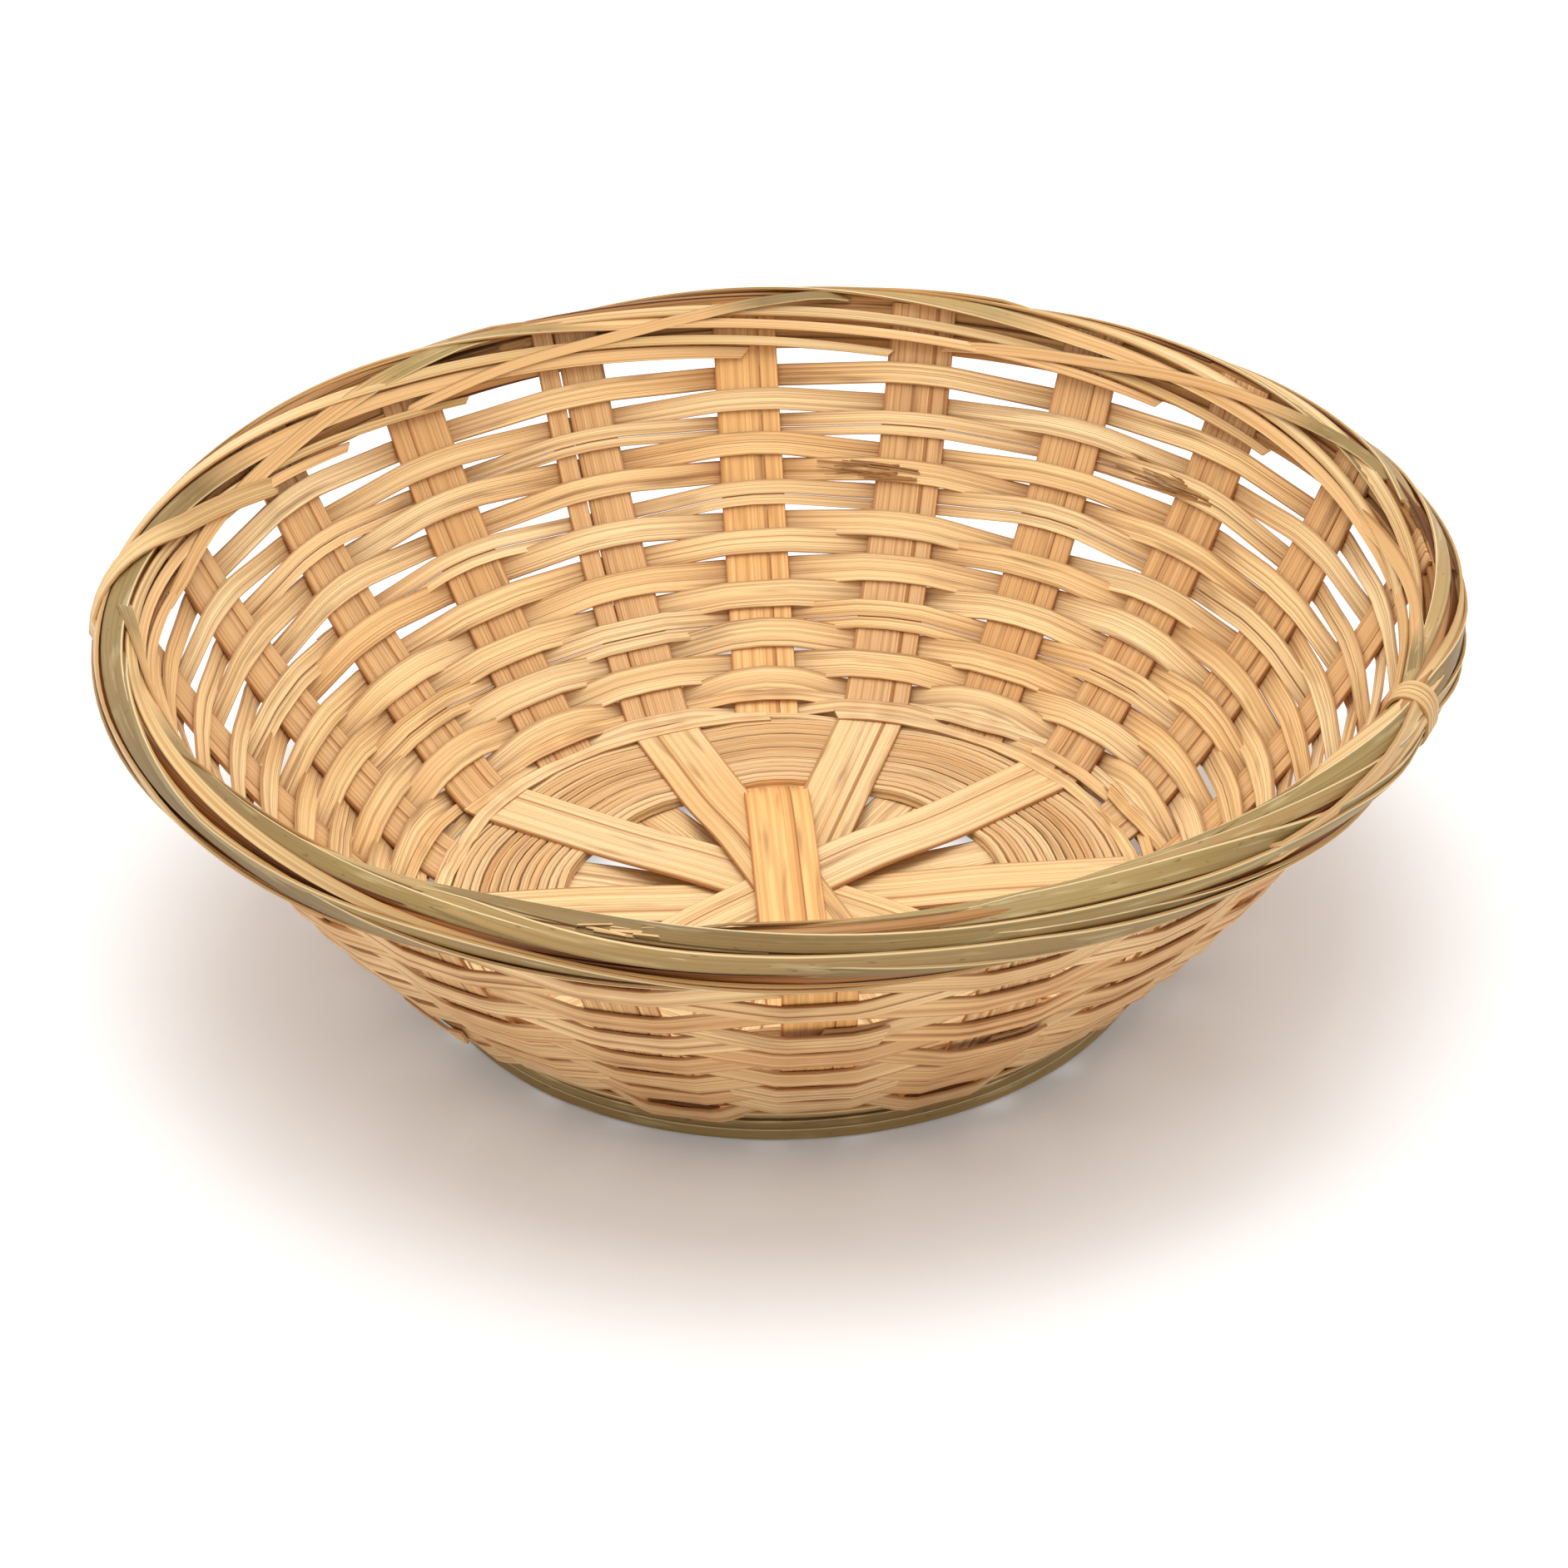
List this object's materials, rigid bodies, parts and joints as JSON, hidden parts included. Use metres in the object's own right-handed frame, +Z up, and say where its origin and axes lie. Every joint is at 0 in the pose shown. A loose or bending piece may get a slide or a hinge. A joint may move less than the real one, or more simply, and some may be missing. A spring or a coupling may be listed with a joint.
{
  "type": "round wicker basket",
  "caption": "Round shallow bamboo basket: flared plain-woven sides on rim-to-rim spokes, spiralled base ring, banded rim and a flat foot, for bread, fruit or small goods.",
  "frame": {"origin": "on the table plane under the centre of the foot ring", "axes": "+Z is up out of the mouth, -Y is the side that faces the camera in the picture, +X is to its right"},
  "size_m": [0.2032, 0.2032, 0.0649],
  "materials": {
    "spoke_bamboo": "matt split bamboo",
    "weaver_bamboo": "matt split bamboo",
    "splint_bamboo": "matt split bamboo",
    "skin_bamboo": "satin bamboo skin"
  },
  "bodies": {
    "root": {"base_splint_01": "splint_bamboo", "base_splint_02": "splint_bamboo", "base_splint_03": "splint_bamboo", "foot_band_lower": "skin_bamboo", "foot_band_upper": "skin_bamboo", "foot_hoop": "skin_bamboo", "rim_band_1": "skin_bamboo", "rim_band_2": "skin_bamboo", "rim_band_3": "skin_bamboo", "rim_band_4": "skin_bamboo", "rim_band_5": "skin_bamboo", "rim_band_6": "skin_bamboo", "rim_band_7": "skin_bamboo", "rim_band_8": "skin_bamboo", "rim_hoop": "weaver_bamboo", "rim_tie": "skin_bamboo", "side_weaver_01": "weaver_bamboo", "side_weaver_02": "weaver_bamboo", "side_weaver_03": "weaver_bamboo", "side_weaver_04": "weaver_bamboo", "side_weaver_05": "weaver_bamboo", "side_weaver_06": "weaver_bamboo", "side_weaver_07": "weaver_bamboo", "side_weaver_08": "weaver_bamboo", "side_weaver_09": "weaver_bamboo", "side_weaver_10": "weaver_bamboo", "side_weaver_11": "weaver_bamboo", "side_weaver_12": "weaver_bamboo", "side_weaver_13": "weaver_bamboo", "side_weaver_14": "weaver_bamboo", "spoke_strip_01": "spoke_bamboo", "spoke_strip_02": "spoke_bamboo", "spoke_strip_03": "spoke_bamboo", "spoke_strip_04": "spoke_bamboo", "spoke_strip_05": "spoke_bamboo", "spoke_strip_06": "spoke_bamboo", "spoke_strip_07": "spoke_bamboo", "spoke_strip_08": "spoke_bamboo", "spoke_strip_09": "spoke_bamboo", "spoke_strip_10": "spoke_bamboo"}
  },
  "joints": []
}
